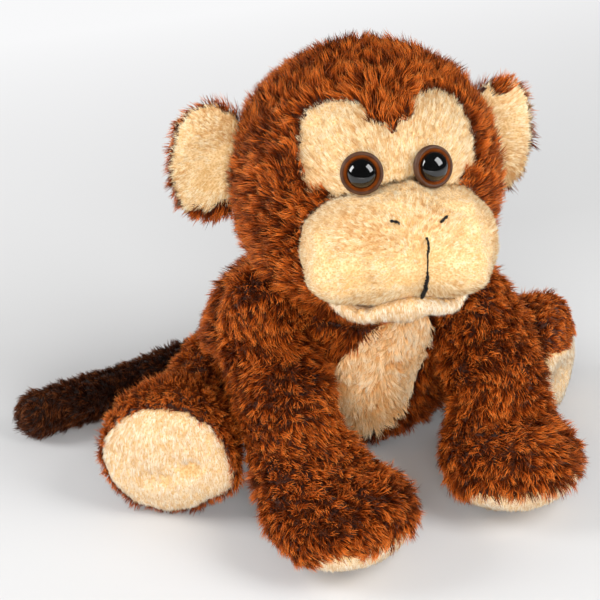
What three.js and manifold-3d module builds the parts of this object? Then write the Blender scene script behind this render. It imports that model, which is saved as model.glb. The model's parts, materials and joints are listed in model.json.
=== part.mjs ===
// A sitting plush monkey: sewn pile covers over fibre stuffing, with a cream face, belly, ears and pads.
// Millimetres, +Z up. It faces -Y, so its own left side is +X. The origin is the middle of its flat seat.
import * as THREE from "three";
import { mergeVertices } from "three/addons/utils/BufferGeometryUtils.js";
import Module from "manifold-3d";

const wasm = await Module();
wasm.setup();

// Cloth and clearances
const brownCloth = 2.4; // long pile with its backing, pressed
const creamCloth = 1.6; // short pile with its backing
const sewnGap = 0.3; // between pieces sewn or packed against each other
const swingGap = 1.6; // between a limb's ball end and the socket that it turns in
const neckGap = 0.7; // round the neck's ball
const foldGap = 0.7; // between an ear and the head, all through its fold
const ballEase = 0.7; // how far a limb may stand out of its ball inside the socket
const limbClear = 3; // between a limb and the torso all through its swing
const restCut = 0.5; // depth of the flat where a form stands on the floor

// Torso: half widths and half depths at four heights
const seatHeight = 9;
const seatWide = 52;
const seatDeep = 51;
const seatForward = 6;
const seatAside = 6; // it sits out to its left
const seatSink = 5; // how far the stuffed seat is pressed flat
const bellyHeight = 28;
const bellyWide = 55;
const bellyDeep = 50;
const bellyForward = 9;
const chestHeight = 52;
const chestWide = 53;
const chestDeep = 44;
const chestForward = 20;
const chestAside = -3; // it leans to its right
const collarHeight = 69;
const collarWide = 42;
const collarDeep = 35;
const collarForward = 33;
const collarCap = 12;
const bellyPatchHeight = 40;
const bellyPatchAside = 2;
const bellyPatchWide = 23;
const bellyPatchTall = 33;
const bellyPatchTilt = 30; // degrees, its upper end to the toy's left
const pelletBagRadius = 33;
const pelletBagTall = 13;

// Head, measured from its own middle
const headHeight = 124; // of its middle above the floor
const headForward = 46;
const headTurned = -11; // degrees about +Z, as it sits
const headWide = 52.5;
const headDeep = 52;
const headTall = 55;
const headBarrel = 9; // half height of the band round its middle
const neckRadius = 16;
const neckSet = 5; // how far inside the head the neck's middle lies
const neckDrop = headTall - neckSet;
const nodClear = 4.5; // room under the head for it to nod and turn

// Face
const faceTilt = 33; // degrees that the eyes look up from level
const eyePatchHalf = 34;
const eyePatchTop = 25;
const eyePatchNotch = 6.5;
const eyePatchFoot = -27;
const eyeApart = 27; // from one eye's middle to the other's
const eyeAside = -1;
const eyeLevel = -4.5;
const eyeRadius = 8.2;
const eyeRim = 2.8;
const eyeFloor = 1.6;
const pupilRadius = 5.8;
const pupilRise = 5;
const shankRadius = 2.2;
const shankLength = 10;
const washerRadius = 5.6;
const washerThick = 1.6;

// Muzzle, measured from the head's middle
const muzzleForward = 50;
const muzzleDrop = 4.5;
const cheekApart = 28;
const cheekTall = 23.5;
const cheekDeep = 25;
const furrowTall = 25;
const furrowRise = 2.5; // the bridge of the nose stands this much higher than the cheeks
const furrowDeep = 24;
const cheekCap = 25.5;
const furrowSide = 4.5; // the nose sits this far to the toy's left
const lipThick = 7.5;
const lipDeep = 10;
const lipHalf = 18;
const lipDrop = 19;
const lipForward = 8;
const stitchRadius = 0.8;
const mouthTop = 30; // degrees above level on the muzzle's front
const mouthFoot = -44;
const nostrilFoot = 34;
const nostrilTop = 46;

// Ears, measured from the head's middle
const earReach = 77.5;
const earRoot = 44.5;
const earTall = 51;
const earThick = 9;
const earBack = 13;
const earRise = 8;
const earHem = 1; // how far the cream front stops short of the brown back
const earDish = 46; // radius of the hollow in its front
const earFloor = 1.5; // thickness of the cream front at the bottom of the hollow
const earFold = [-15, 25]; // degrees

// Arms
const armRadius = 19;
const elbowRadius = 20;
const wristRadius = 19;
const heelWide = 27;
const pawWide = 29.5;
const pawThick = 18;
const pawCap = 22;
const palmLong = 24;
const palmWide = 21;
const palmAhead = 9;
const palmRim = 10;
const armReach = { left: 72, right: 84 }; // from shoulder to paw, straight ahead
const armSwing = [0, 55]; // degrees, out and up

// Legs
const hipRadius = 19;
const shinRadius = 17.5;
const footWide = 28;
const footThick = 25.5;
const soleCap = 10;
const soleWide = 25.2;
const soleTall = 22.8;
const legSwing = [0, 25]; // degrees, outwards

// Tail
const tailRadius = 10.5;
const tailCap = 7;
const tailSwing = [-75, 0]; // degrees, towards the back

const degrees = Math.PI / 180;
const vector = (p) => new THREE.Vector3(...p);
const sideSign = { left: 1, right: -1 };

// How the limbs lie as it sits: each path runs from the joint's middle to the far end
const shoulder = { left: [chestWide - 6, -42, 60], right: [12.5 - chestWide, -38, 60] };
const hipLevel = hipRadius + swingGap + brownCloth; // its socket stays above the seat's cloth
const shinLevel = shinRadius + 1.5;
const hip = { left: [bellyWide - 15, -2, hipLevel], right: [10 - bellyWide, -2, hipLevel] };
const pawLevel = pawThick - restCut;
const footLevel = footThick - restCut;
const tailLevel = tailRadius - restCut;
const from = (start, across, ahead, height) => [start[0] + across, start[1] - ahead, height];
const armPath = {
  left: [
    shoulder.left,
    from(shoulder.left, 1, armReach.left * 0.3, 49),
    from(shoulder.left, -3, armReach.left * 0.6, pawLevel + 17),
    from(shoulder.left, -8, armReach.left * 0.82, pawLevel + 2),
    from(shoulder.left, -10, armReach.left, pawLevel),
  ],
  right: [
    shoulder.right,
    from(shoulder.right, -2, armReach.right * 0.2, 48),
    from(shoulder.right, -7, armReach.right * 0.53, pawLevel + 15),
    from(shoulder.right, -5, armReach.right * 0.84, pawLevel + 1.5),
    from(shoulder.right, -1, armReach.right, pawLevel),
  ],
};
const legPath = {
  left: [
    hip.left,
    from(hip.left, 24, 17, shinLevel),
    from(hip.left, 43, 42, footLevel - 1),
    from(hip.left, 52, 49, footLevel),
  ],
  right: [
    hip.right,
    from(hip.right, -23, 19, shinLevel),
    from(hip.right, -42, 46, footLevel - 1),
    from(hip.right, -51, 60.5, footLevel),
  ],
};
const tailRoot = [-17, seatDeep - seatForward - 5, tailLevel + 6.5];
const tailPath = [
  tailRoot,
  from(tailRoot, -32, 11, tailLevel + 1.5),
  from(tailRoot, -72, 18.5, tailLevel),
  from(tailRoot, -112, 24.5, tailLevel),
];

// Cloths and moulded pieces
const matte = (color, roughness = 0.95) => new THREE.MeshStandardMaterial({ color, roughness, metalness: 0 });
const brownPile = matte(0x6b3213);
const tailPile = matte(0x3a1a0b);
const creamPile = matte(0xe8c593);
const bellyPile = matte(0xe3c08e);
const palePile = matte(0xf1dcba);
const whiteFibre = matte(0xf2f0ea);
const bagCloth = matte(0xd9d4c8);
const blackThread = matte(0x17120f, 0.7);
const brownPlastic = matte(0x4a230f, 0.5);
const blackPlastic = matte(0x060606, 0.08);
const whitePlastic = matte(0xe6e6e2, 0.5);

// Joining and cutting
function solid(geometry) {
  const bare = new THREE.BufferGeometry();
  bare.setAttribute("position", geometry.getAttribute("position"));
  if (geometry.index) bare.setIndex(geometry.index);
  const merged = mergeVertices(bare, 1e-4);
  const vertProperties = merged.getAttribute("position").array;
  const triVerts = new Uint32Array(merged.index.array);
  return new wasm.Manifold(new wasm.Mesh({ numProp: 3, vertProperties, triVerts }));
}

function mesh(name, form, material) {
  const { vertProperties, triVerts } = form.getMesh();
  const geometry = new THREE.BufferGeometry();
  geometry.setAttribute("position", new THREE.BufferAttribute(vertProperties, 3));
  geometry.setIndex(new THREE.BufferAttribute(triVerts, 1));
  geometry.computeVertexNormals();
  const made = new THREE.Mesh(geometry, material);
  made.name = name;
  return made;
}

const cut = (form, ...tools) => tools.reduce((left, tool) => left.subtract(tool), form);
const placed = (form, matrix) => form.transform(matrix.elements);

function turned(form, middle, axis, angle) {
  const turn = new THREE.Matrix4().makeRotationAxis(vector(axis).normalize(), angle * degrees);
  const there = new THREE.Matrix4().makeTranslation(...middle);
  const back = new THREE.Matrix4().makeTranslation(...middle.map((value) => -value));
  return placed(form, there.multiply(turn).multiply(back));
}

// Takes an obstacle out of a form at every step of a swing, so that the form never meets it.
function swungClear(form, obstacle, middle, axis, [low, high]) {
  const steps = Math.ceil((high - low) / 20);
  let left = form;
  for (let step = 0; step <= steps; step++) {
    const angle = low + ((high - low) * step) / steps;
    left = left.subtract(turned(obstacle, middle, axis, -angle));
  }
  return left;
}

// A stuffed form is a spine through stations with an elliptical ring at each: { at, wide, thick }.
// Thick lies towards the form's reference direction and wide lies across it. Both ends have rounded caps.
// A form with a direction of its own for the rings keeps them all square to that.
function ringFrame(form, share) {
  const spine = new THREE.CatmullRomCurve3(form.stations.map((station) => vector(station.at)));
  const girth = new THREE.CatmullRomCurve3(form.stations.map(({ wide, thick }) => vector([wide, thick, 0])));
  const along = form.along ? vector(form.along) : spine.getTangent(share);
  const thick = vector(form.towards).addScaledVector(along, -vector(form.towards).dot(along)).normalize();
  const wide = thick.clone().cross(along);
  return { along, thick, wide, middle: spine.getPoint(share), half: girth.getPoint(share) };
}

function ringPoint({ middle, along, wide, thick, half }, angle, inset = 0, shift = 0, scale = 1) {
  return middle
    .clone()
    .addScaledVector(along, shift)
    .addScaledVector(wide, (half.x - inset) * scale * Math.cos(angle))
    .addScaledVector(thick, (half.y - inset) * scale * Math.sin(angle));
}

function stuffed(form, inset = 0) {
  const { sides = 12, steps = 2, capRings = 3 } = form;
  const [startCap, endCap] = form.caps.map((cap) => cap - inset);
  const rows = [];
  for (let k = capRings - 1; k > 0; k--) rows.push([0, -startCap, k / capRings]);
  const spans = (form.stations.length - 1) * steps;
  for (let k = 0; k <= spans; k++) rows.push([k / spans, 0, 0]);
  for (let k = 1; k < capRings; k++) rows.push([1, endCap, k / capRings]);
  const points = [];
  for (const [share, cap, part] of rows) {
    const frame = ringFrame(form, share);
    const turn = (part * Math.PI) / 2;
    for (let side = 0; side < sides; side++) {
      const angle = (2 * Math.PI * side) / sides;
      points.push(ringPoint(frame, angle, inset, cap * Math.sin(turn), Math.cos(turn)));
    }
  }
  const start = ringFrame(form, 0);
  const end = ringFrame(form, 1);
  points.push(start.middle.addScaledVector(start.along, -startCap));
  points.push(end.middle.addScaledVector(end.along, endCap));
  return skin(points, rows.length, sides);
}

// Closes rows of ring points with the two poles that follow them.
function skin(points, rows, sides) {
  const at = (row, side) => row * sides + (side % sides);
  const faces = [];
  for (let side = 0; side < sides; side++) {
    faces.push(rows * sides, at(0, side + 1), at(0, side));
    for (let row = 0; row < rows - 1; row++) {
      faces.push(at(row, side), at(row, side + 1), at(row + 1, side));
      faces.push(at(row, side + 1), at(row + 1, side + 1), at(row + 1, side));
    }
    faces.push(rows * sides + 1, at(rows - 1, side), at(rows - 1, side + 1));
  }
  const geometry = new THREE.BufferGeometry().setFromPoints(points);
  geometry.setIndex(faces);
  return solid(geometry);
}

const ball = (middle, radius, sides = 16) =>
  solid(new THREE.SphereGeometry(radius, sides, Math.round(sides * 0.6)).translate(...middle));

// An outline drawn across a direction and drawn out along it from a middle point.
function bar(outline, middle, direction, up, length) {
  const ahead = vector(direction).normalize();
  const across = vector(up).cross(ahead).normalize();
  const frame = new THREE.Matrix4().makeBasis(across, ahead.clone().cross(across), ahead);
  frame.setPosition(vector(middle));
  const shape = new THREE.ExtrudeGeometry(outline, { depth: length, bevelEnabled: false, curveSegments: 6 });
  return solid(shape.applyMatrix4(frame));
}

// An outline with each corner moved outwards by the same amount.
function grown(points, grow) {
  const corners = points.map((point, k) => {
    const before = points[(k + points.length - 1) % points.length];
    const after = points[(k + 1) % points.length];
    const run = after.clone().sub(before).normalize();
    return new THREE.Vector2(point.x + run.y * grow, point.y - run.x * grow);
  });
  return new THREE.Shape(corners);
}

function oval(wide, tall = wide, grow = 0) {
  const points = [];
  for (let k = 0; k < 16; k++) {
    const angle = (k / 16) * 2 * Math.PI;
    points.push(new THREE.Vector2(wide * Math.cos(angle), tall * Math.sin(angle)));
  }
  return grown(points, grow);
}

// A turned piece about a direction, from its outline of [radius, height] pairs.
function lathe(outline, middle, direction) {
  const points = outline.map(([radius, height]) => new THREE.Vector2(radius, height));
  const turn = new THREE.Quaternion().setFromUnitVectors(vector([0, 1, 0]), vector(direction).normalize());
  const frame = new THREE.Matrix4().makeRotationFromQuaternion(turn).setPosition(vector(middle));
  return solid(new THREE.LatheGeometry(points, 16).applyMatrix4(frame));
}

const past = 400; // longer than any form, for what cuts right through
const slab = (size, middle) => solid(new THREE.BoxGeometry(...size).translate(...middle));
const under = (level) => slab([2 * past, 2 * past, past], [0, 0, level - past / 2]);
const onFloor = (form, inset = 0) => cut(stuffed(form, inset), under(inset));

// The forms before they are cut
const torsoForm = {
  stations: [
    { at: [seatAside, -seatForward, seatHeight], wide: seatWide, thick: seatDeep },
    { at: [chestAside / 2, -bellyForward, bellyHeight], wide: bellyWide, thick: bellyDeep },
    { at: [chestAside, -chestForward, chestHeight], wide: chestWide, thick: chestDeep },
    { at: [chestAside / 2, -collarForward, collarHeight], wide: collarWide, thick: collarDeep },
  ],
  caps: [seatHeight + seatSink, collarCap],
  towards: [0, -1, 0],
  along: [0, 0, 1],
  sides: 18,
};

const headForm = {
  stations: [-1, 0, 1].map((step) => ({
    at: [0, 0, step * headBarrel],
    wide: headWide - Math.abs(step) * 0.7,
    thick: headDeep - Math.abs(step) * 0.7,
  })),
  caps: [headTall - headBarrel, headTall - headBarrel],
  towards: [0, -1, 0],
  sides: 20,
  capRings: 4,
};

const muzzleForm = {
  stations: [-1, 0, 1].map((step) => ({
    at: [step ? (step * cheekApart) / 2 : furrowSide, -muzzleForward, (step ? 0 : furrowRise) - muzzleDrop],
    wide: step ? cheekDeep : furrowDeep,
    thick: step ? cheekTall : furrowTall,
  })),
  caps: [cheekCap, cheekCap],
  towards: [0, 0, 1],
  along: [1, 0, 0],
  sides: 16,
  capRings: 3,
};

const lipForm = {
  stations: [-1, 0, 1].map((step) => ({
    at: [step * lipHalf, -muzzleForward - lipForward * (1 - Math.abs(step)), -muzzleDrop - lipDrop],
    wide: lipDeep,
    thick: lipThick,
  })),
  caps: [lipThick, lipThick],
  towards: [0, 0, 1],
  sides: 10,
};

const earForm = (side) => ({
  stations: [-1, 0, 1].map((step) => ({
    at: [(sideSign[side] * (earRoot + earReach)) / 2, earBack, earRise + (step * earTall) / 5],
    wide: ((earReach - earRoot) / 2) * (step ? 0.9 : 1),
    thick: earThick / 2,
  })),
  caps: [earTall * 0.3, earTall * 0.3],
  towards: [0, -1, 0],
});

function limbForm(path, girths, caps, sides) {
  const stations = path.map((at, k) => ({ at, wide: girths[k][0], thick: girths[k][1] }));
  return { stations, caps, towards: [0, 0, 1], sides };
}

const coarse = { sides: 14, steps: 1, capRings: 3 }; // enough for what only cuts its neighbours
const even = (radius) => [radius, radius];
const pawGirths = [[heelWide, pawThick], [pawWide, pawThick]];
const armGirths = [even(armRadius), even(elbowRadius), even(wristRadius), ...pawGirths];
const legGirths = [even(hipRadius), even(shinRadius), [footWide - 1, footThick - 1], [footWide, footThick]];
const tailForm = limbForm(tailPath, tailPath.map(() => even(tailRadius)), [tailRadius, tailCap], 8);

// Head and torso meet round a ball of stuffing in the neck
const neck = [0, -headForward, headHeight - neckDrop];
const headPlace = new THREE.Matrix4().makeRotationZ(headTurned * degrees);
headPlace.setPosition(0, -headForward, headHeight);
const neckInHead = [0, 0, -neckDrop];
const headRoom = (grow) => placed(stuffed({ ...headForm, sides: 16 }, -nodClear - grow), headPlace);
const belowHead = (form, grow) => form.subtract(headRoom(grow));

// Where each limb turns, and about what
const armAxis = { left: [-0.9, 0, 0.43], right: [-0.9, 0, -0.43] };
const limbs = [
  { name: "arm", side: "left", middle: shoulder.left, radius: armRadius, axis: armAxis.left, swing: armSwing },
  { name: "arm", side: "right", middle: shoulder.right, radius: armRadius, axis: armAxis.right, swing: armSwing },
  { name: "leg", side: "left", middle: hip.left, radius: hipRadius, axis: [0, 0, 1], swing: legSwing },
  { name: "leg", side: "right", middle: hip.right, radius: hipRadius, axis: [0, 0, -1], swing: legSwing },
  { name: "tail", middle: tailRoot, radius: tailRadius, axis: [0, 0, 1], swing: tailSwing },
];
const sockets = limbs.map(({ middle, radius }) => ball(middle, radius + swingGap));

const root = new THREE.Group();
const head = new THREE.Group();
head.applyMatrix4(headPlace);
root.add(head);

// Torso: a brown cover with a cream belly let into it, fibre, and a bag of pellets low in the seat
const bellyMiddle = [bellyPatchAside, -bellyForward, bellyPatchHeight];
const bellyUp = [Math.sin(bellyPatchTilt * degrees), 0, Math.cos(bellyPatchTilt * degrees)];
const bellyOval = (grow) => oval(bellyPatchWide, bellyPatchTall, grow);
const bellyBar = (grow) => bar(bellyOval(grow), bellyMiddle, [0, -1, 0], bellyUp, past);
const torsoOuter = onFloor(torsoForm);
const torsoWall = cut(torsoOuter, onFloor(torsoForm, brownCloth), bellyBar(sewnGap));
const torsoCover = cut(belowHead(torsoWall, 0), ball(neck, neckRadius + neckGap), ...sockets);
root.add(mesh("torso_cover", torsoCover, brownPile));

const bellyWall = cut(torsoOuter, stuffed(torsoForm, creamCloth)).intersect(bellyBar(0));
const bellyPatch = cut(belowHead(bellyWall, 0), ball(neck, neckRadius + neckGap), ...sockets);
root.add(mesh("belly_patch", bellyPatch, bellyPile));

const bagShape = (grow) => {
  const radius = pelletBagRadius + grow;
  const round = new THREE.SphereGeometry(1, 16, 8);
  return solid(round.scale(radius, radius, pelletBagTall + grow).translate(0, 0, 4));
};
const fibreInset = brownCloth + sewnGap;
const torsoFibre = belowHead(onFloor(torsoForm, fibreInset), sewnGap);
const torsoHollows = [ball(neck, neckRadius + neckGap), ...sockets, bagShape(sewnGap)];
root.add(mesh("torso_stuffing", cut(torsoFibre, ...torsoHollows), whiteFibre));
const bagRoom = onFloor(torsoForm, fibreInset);
root.add(mesh("seat_pellet_bag", cut(bagShape(0).intersect(bagRoom), ...sockets), bagCloth));
root.add(mesh("neck", ball(neck, neckRadius), brownPile));

// Head: a brown cover with the cream eye patch let into it
const heart = (grow) => {
  const half = eyePatchHalf;
  const top = eyePatchTop;
  const foot = eyePatchFoot;
  const shape = new THREE.Shape();
  shape.moveTo(0, eyePatchNotch);
  shape.bezierCurveTo(-half * 0.2, top * 0.85, -half * 0.45, top, -half * 0.65, top);
  shape.bezierCurveTo(-half * 0.9, top, -half, top * 0.6, -half, top * 0.2);
  shape.bezierCurveTo(-half, foot * 0.4, -half * 0.75, foot, -half * 0.3, foot);
  shape.lineTo(half * 0.3, foot);
  shape.bezierCurveTo(half * 0.75, foot, half, foot * 0.4, half, top * 0.2);
  shape.bezierCurveTo(half, top * 0.6, half * 0.9, top, half * 0.65, top);
  shape.bezierCurveTo(half * 0.45, top, half * 0.2, top * 0.85, 0, eyePatchNotch);
  return grown(shape.getPoints(4).slice(0, -1), grow);
};
const faceAhead = [0, -Math.cos(faceTilt * degrees), Math.sin(faceTilt * degrees)];
const faceUp = [0, Math.sin(faceTilt * degrees), Math.cos(faceTilt * degrees)];
const heartBar = (grow) => bar(heart(grow), [0, 0, 0], faceAhead, faceUp, past);
const headOuter = stuffed(headForm);
const neckHollow = ball(neckInHead, neckRadius + neckGap);

// A point on the head's front, from its place across the face and up it, with the outward direction there
function onFace(across, up) {
  const target = vector(faceUp).multiplyScalar(up).add(vector([across, 0, 0]));
  const scaled = (point) => {
    const rise = Math.max(0, Math.abs(point.z) - headBarrel) / (headTall - headBarrel);
    return Math.hypot(point.x / headWide, point.y / headDeep, rise);
  };
  let near = 0;
  let far = 2 * headDeep;
  for (let k = 0; k < 40; k++) {
    const middle = (near + far) / 2;
    if (scaled(target.clone().addScaledVector(vector(faceAhead), middle)) < 1) near = middle;
    else far = middle;
  }
  const at = target.addScaledVector(vector(faceAhead), near);
  const slope = Math.max(0, at.z - headBarrel) / (headTall - headBarrel) ** 2;
  return { at, out: vector([at.x / headWide ** 2, at.y / headDeep ** 2, slope]).normalize() };
}

const eyes = ["left", "right"].map((side) => {
  const { at, out } = onFace(eyeAside + (sideSign[side] * eyeApart) / 2, eyeLevel);
  const seat = at.clone().addScaledVector(out, sewnGap);
  return { side, out: out.toArray(), seat: seat.toArray() };
});
const shankHole = ({ seat, out }) => lathe([[0, -shankLength - 4], [shankRadius + sewnGap, -shankLength - 4],
  [shankRadius + sewnGap, 4], [0, 4]], seat, out);
const eyeRoom = ({ seat, out }) => lathe([[0, -1], [eyeRadius + sewnGap, -1],
  [eyeRadius + sewnGap, eyeRadius], [0, eyeRadius]], seat, out);
const washerDepth = -creamCloth - washerThick - 2.8;
const washerPocket = ({ seat, out }) => lathe([[0, -shankLength - 1], [washerRadius + 1, -shankLength - 1],
  [washerRadius + 1, 6], [0, 6]], seat, out);

const headWall = cut(headOuter, stuffed(headForm, brownCloth), heartBar(sewnGap), neckHollow);
head.add(mesh("head_cover", headWall, brownPile));
const patchWall = cut(headOuter, stuffed(headForm, creamCloth)).intersect(heartBar(0));
head.add(mesh("eye_patch", cut(patchWall, ...eyes.map(shankHole)), creamPile));
const headFibre = cut(stuffed(headForm, fibreInset), neckHollow, ...eyes.map(washerPocket));
head.add(mesh("head_stuffing", headFibre, whiteFibre));

// Eyes: a dished ring on a shank, a glossy pupil in the dish, and a washer behind the cloth
for (const { side, out, seat } of eyes) {
  const ring = [[0, -shankLength], [shankRadius, -shankLength], [shankRadius, 0], [eyeRadius - 0.4, 0],
    [eyeRadius, 0.8], [eyeRadius - 0.3, eyeRim - 0.5], [eyeRadius - 1, eyeRim],
    [pupilRadius + sewnGap, eyeFloor + 0.5], [pupilRadius + sewnGap, eyeFloor], [0, eyeFloor]];
  head.add(mesh("eye_ring_" + side, lathe(ring, seat, out), brownPlastic));
  const dome = [[0, eyeFloor + sewnGap / 3]];
  for (let k = 0; k <= 5; k++) {
    const angle = (k / 5) * 0.5 * Math.PI;
    dome.push([pupilRadius * Math.cos(angle), eyeFloor + 0.4 + (pupilRise - 0.4) * Math.sin(angle)]);
  }
  dome.splice(1, 0, [pupilRadius, eyeFloor + sewnGap / 3]);
  head.add(mesh("eye_dome_" + side, lathe(dome, seat, out), blackPlastic));
  const washer = [[shankRadius + sewnGap, washerDepth], [washerRadius, washerDepth],
    [washerRadius, washerDepth + washerThick], [shankRadius + sewnGap, washerDepth + washerThick]];
  head.add(mesh("eye_washer_" + side, lathe([...washer, washer[0]], seat, out), whitePlastic));
}

// Muzzle and lower lip, each cut by what lies behind it, with stitched nostrils and mouth
const onMuzzle = (share, rise) => ringPoint(ringFrame(muzzleForm, share), (180 - rise) * degrees, -0.2);
const thread = (points) => ({
  stations: points.map((point) => ({ at: point.toArray(), wide: stitchRadius, thick: stitchRadius })),
  caps: [stitchRadius, stitchRadius],
  towards: [0.31, 0.2, 0.93],
  sides: 6,
  capRings: 2,
});
const mouthRises = [0, 0.25, 0.5, 0.75, 1].map((part) => mouthTop + (mouthFoot - mouthTop) * part);
const nostril = (near, far) => thread([onMuzzle(near, nostrilFoot), onMuzzle(far, nostrilTop)]);
const stitches = [
  { name: "mouth_stitch", form: thread(mouthRises.map((rise) => onMuzzle(0.5, rise))) },
  { name: "nostril_stitch_left", form: nostril(0.6, 0.86) },
  { name: "nostril_stitch_right", form: nostril(0.4, 0.14) },
];
const grooves = stitches.map(({ form }) => stuffed(form, -sewnGap));
const muzzleShell = cut(stuffed(muzzleForm), stuffed(muzzleForm, creamCloth));
const muzzleWall = cut(muzzleShell, stuffed(headForm, -sewnGap), ...eyes.map(eyeRoom), ...grooves);
head.add(mesh("muzzle_cover", muzzleWall, creamPile));
const muzzleInner = stuffed(muzzleForm, creamCloth + sewnGap);
const muzzleFibre = cut(muzzleInner, stuffed(headForm, -2 * sewnGap), ...eyes.map(eyeRoom), ...grooves);
head.add(mesh("muzzle_stuffing", muzzleFibre, whiteFibre));
for (const { name, form } of stitches) head.add(mesh(name, stuffed(form), blackThread));
const lip = cut(stuffed(lipForm), stuffed(muzzleForm, -sewnGap), stuffed(headForm, -sewnGap), ...grooves);
head.add(mesh("lower_lip", lip, palePile));

// Ears: a brown back and a cream front with a hollow in it, folding along the seam with the head
for (const side of ["left", "right"]) {
  const seam = [sideSign[side] * headWide * 0.97, earBack, earRise];
  const foldAxis = [0, 0, sideSign[side]];
  const clearOf = (form) => swungClear(form, stuffed(headForm, -foldGap), seam, foldAxis, earFold);
  const dishMiddle = [(sideSign[side] * (earRoot + earReach)) / 2, earBack - earFloor - earDish, earRise];
  const back = stuffed(earForm(side)).trimByPlane([0, 1, 0], earBack);
  const front = stuffed(earForm(side), earHem).trimByPlane([0, -1, 0], sewnGap - earBack);
  head.add(mesh("ear_back_" + side, clearOf(back), brownPile));
  head.add(mesh("ear_front_" + side, clearOf(front.subtract(ball(dishMiddle, earDish, 28))), creamPile));
}

// Limbs: stuffed tight, with a ball end in a socket of the torso, and cut clear of it all through the swing
function addLimb({ name, side, middle, radius, axis, swing }, form, pile, pad) {
  const torso = stuffed({ ...torsoForm, ...coarse }, -limbClear);
  const whole = onFloor(form);
  const ballEnd = whole.intersect(ball(middle, radius + ballEase));
  const limb = swungClear(whole, torso, middle, axis, swing).add(ballEnd);
  const label = side ? name + "_" + side : name;
  if (!pad) {
    root.add(mesh(label, limb, pile));
    return;
  }
  const pocket = pad.bar(sewnGap).subtract(onFloor(form, creamCloth + sewnGap));
  root.add(mesh(label, cut(limb, pocket), pile));
  const padWall = cut(whole, onFloor(form, creamCloth)).intersect(pad.bar(0));
  root.add(mesh(pad.name + "_" + side, padWall, creamPile));
}

for (const limb of limbs) {
  if (limb.name === "arm") {
    const form = limbForm(armPath[limb.side], armGirths, [armRadius, pawCap]);
    const { along, middle } = ringFrame(form, 1);
    const palmMiddle = [middle.x + along.x * palmAhead, middle.y + along.y * palmAhead, palmRim];
    const heading = [along.x, along.y, 0];
    const palmBar = (grow) => bar(oval(palmWide, palmLong, grow), palmMiddle, [0, 0, -1], heading, 30);
    addLimb(limb, form, brownPile, { name: "palm", bar: palmBar });
  } else if (limb.name === "leg") {
    const form = limbForm(legPath[limb.side], legGirths, [hipRadius, soleCap]);
    const { along, middle } = ringFrame(form, 1);
    const soleOval = (grow) => oval(soleWide, soleTall, grow);
    const soleBar = (grow) => bar(soleOval(grow), middle.toArray(), along.toArray(), [0, 0, 1], 40);
    addLimb(limb, form, brownPile, { name: "sole", bar: soleBar });
  } else {
    addLimb(limb, tailForm, tailPile);
  }
}

export default root;
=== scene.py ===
import json
import math
import bmesh
import bpy
import numpy as np
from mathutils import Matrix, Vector
from mathutils.bvhtree import BVHTree
from mathutils.kdtree import KDTree

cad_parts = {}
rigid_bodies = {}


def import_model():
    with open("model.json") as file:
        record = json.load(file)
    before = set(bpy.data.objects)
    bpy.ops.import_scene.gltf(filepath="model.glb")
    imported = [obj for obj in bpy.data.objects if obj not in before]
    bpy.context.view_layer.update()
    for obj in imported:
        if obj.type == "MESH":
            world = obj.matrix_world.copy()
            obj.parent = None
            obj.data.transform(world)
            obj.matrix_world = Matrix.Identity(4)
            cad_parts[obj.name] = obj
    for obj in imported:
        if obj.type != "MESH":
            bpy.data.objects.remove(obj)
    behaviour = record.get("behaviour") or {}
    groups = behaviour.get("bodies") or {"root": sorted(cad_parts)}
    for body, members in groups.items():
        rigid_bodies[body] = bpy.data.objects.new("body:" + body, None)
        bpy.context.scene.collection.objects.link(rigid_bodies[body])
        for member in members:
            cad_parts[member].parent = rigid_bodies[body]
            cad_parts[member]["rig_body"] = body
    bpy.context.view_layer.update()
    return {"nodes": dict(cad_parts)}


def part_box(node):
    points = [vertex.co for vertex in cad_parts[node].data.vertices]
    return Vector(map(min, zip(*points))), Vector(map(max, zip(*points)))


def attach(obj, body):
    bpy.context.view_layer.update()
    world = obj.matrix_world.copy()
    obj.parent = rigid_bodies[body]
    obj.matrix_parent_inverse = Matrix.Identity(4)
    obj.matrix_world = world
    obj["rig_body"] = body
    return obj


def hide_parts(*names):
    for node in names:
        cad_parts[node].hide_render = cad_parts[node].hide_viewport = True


# A sitting plush monkey, dressed over its solids: cloth skins, combed pile of real strands, eyes and stitches
for spare in list(bpy.data.objects):
    bpy.data.objects.remove(spare)  # the default cube, lamp and camera
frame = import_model()
nodes = frame["nodes"]
mm = 0.001
pileShare = 1.0
print("frame loaded:", len(nodes), "solids")


def linear(code):
    parts = [int(code[k:k + 2], 16) / 255 for k in (1, 3, 5)]
    return [p / 12.92 if p <= 0.04045 else ((p + 0.055) / 1.055) ** 2.4 for p in parts] + [1.0]


def addNode(tree, kind, sockets, **settings):
    node = tree.nodes.new(kind)
    for key, value in settings.items():
        setattr(node, key, value)
    for key, value in sockets.items():
        if isinstance(value, bpy.types.NodeSocket):
            tree.links.new(value, node.inputs[key])
        else:
            node.inputs[key].default_value = value
    return node


def setRamp(node, stops):
    ramp = node.color_ramp
    while len(ramp.elements) < len(stops):
        ramp.elements.new(0.5)
    for element, (place, code) in zip(ramp.elements, stops):
        element.position = place
        element.color = linear(code)
    return node.outputs[0]


def newMaterial(name):
    made = bpy.data.materials.new(name)
    made.use_nodes = True
    made.node_tree.nodes.clear()
    return made, made.node_tree


def closeMaterial(tree, shader):
    addNode(tree, "ShaderNodeOutputMaterial", {"Surface": shader.outputs[0]})


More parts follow.
